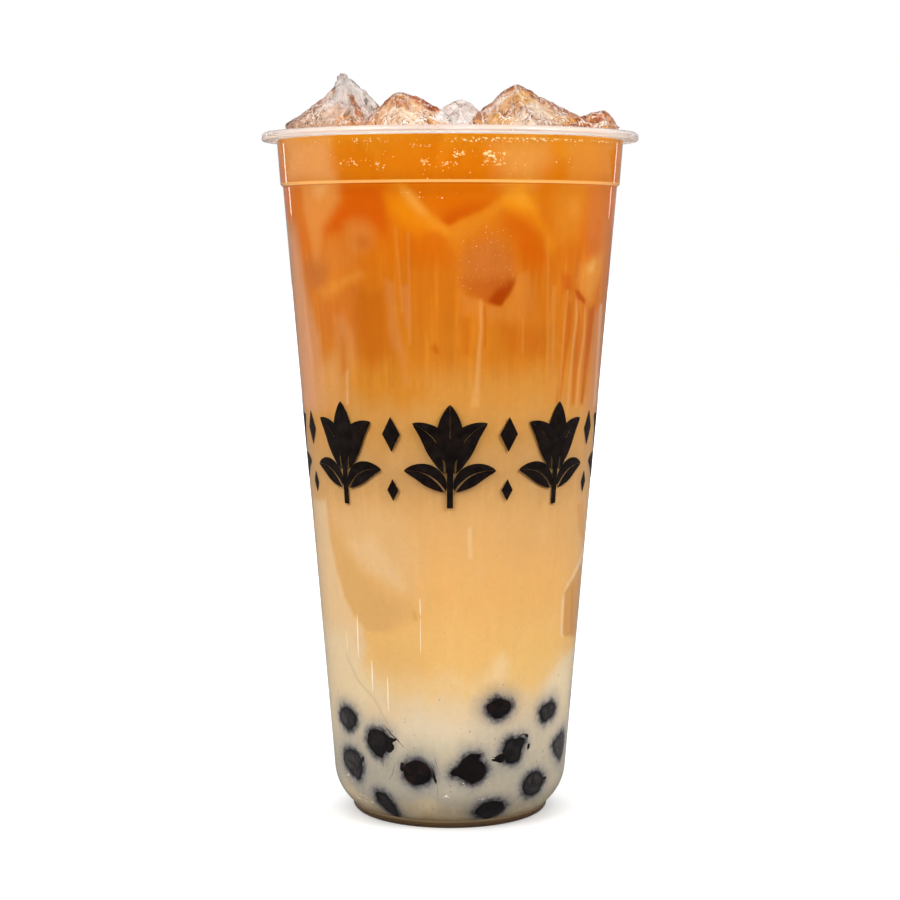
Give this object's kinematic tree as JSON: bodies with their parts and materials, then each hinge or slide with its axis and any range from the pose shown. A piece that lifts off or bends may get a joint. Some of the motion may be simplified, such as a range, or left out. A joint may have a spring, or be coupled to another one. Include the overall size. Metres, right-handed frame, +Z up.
{
  "type": "bubble tea",
  "caption": "Tall clear cup of layered milk tea, with dark tapioca pearls in the milk at its bottom and ice heaped above its rim",
  "frame": {"origin": "centre of the cup's foot, on the table", "axes": "+Z up along the cup's axis; -Y towards the viewer of the picture, +X to the right"},
  "size_m": [0.095, 0.095, 0.188],
  "materials": {
    "clear_plastic": "clear, polished",
    "milk": "opaque milky liquid",
    "milk_tea": "cloudy caramel-coloured liquid",
    "tea": "cloudy amber-orange liquid",
    "tapioca": "glossy, near black",
    "ice": "clear ice, wet",
    "print_ink": "dark brown ink printed on the cup's wall, in the dressed model only"
  },
  "bodies": {
    "root": {"cup": "clear_plastic", "milk_layer": "milk", "milk_tea_layer": "milk_tea", "tea_layer": "tea", "ice_left": "ice", "ice_left_low": "ice", "ice_front_left": "ice", "ice_front_right": "ice", "ice_front_low": "ice", "ice_right": "ice", "ice_right_low": "ice", "ice_middle": "ice", "ice_back": "ice", "ice_back_low": "ice", "ice_back_left": "ice", "ice_back_right": "ice", "pearl_01": "tapioca", "pearl_02": "tapioca", "pearl_03": "tapioca", "pearl_04": "tapioca", "pearl_05": "tapioca", "pearl_06": "tapioca", "pearl_07": "tapioca", "pearl_08": "tapioca", "pearl_09": "tapioca", "pearl_10": "tapioca", "pearl_11": "tapioca", "pearl_12": "tapioca", "pearl_13": "tapioca", "pearl_14": "tapioca", "pearl_15": "tapioca", "pearl_16": "tapioca", "pearl_17": "tapioca", "pearl_18": "tapioca", "pearl_19": "tapioca", "pearl_20": "tapioca", "pearl_21": "tapioca", "pearl_22": "tapioca", "pearl_23": "tapioca", "pearl_24": "tapioca", "pearl_25": "tapioca", "pearl_26": "tapioca", "pearl_27": "tapioca", "pearl_28": "tapioca"}
  },
  "joints": []
}
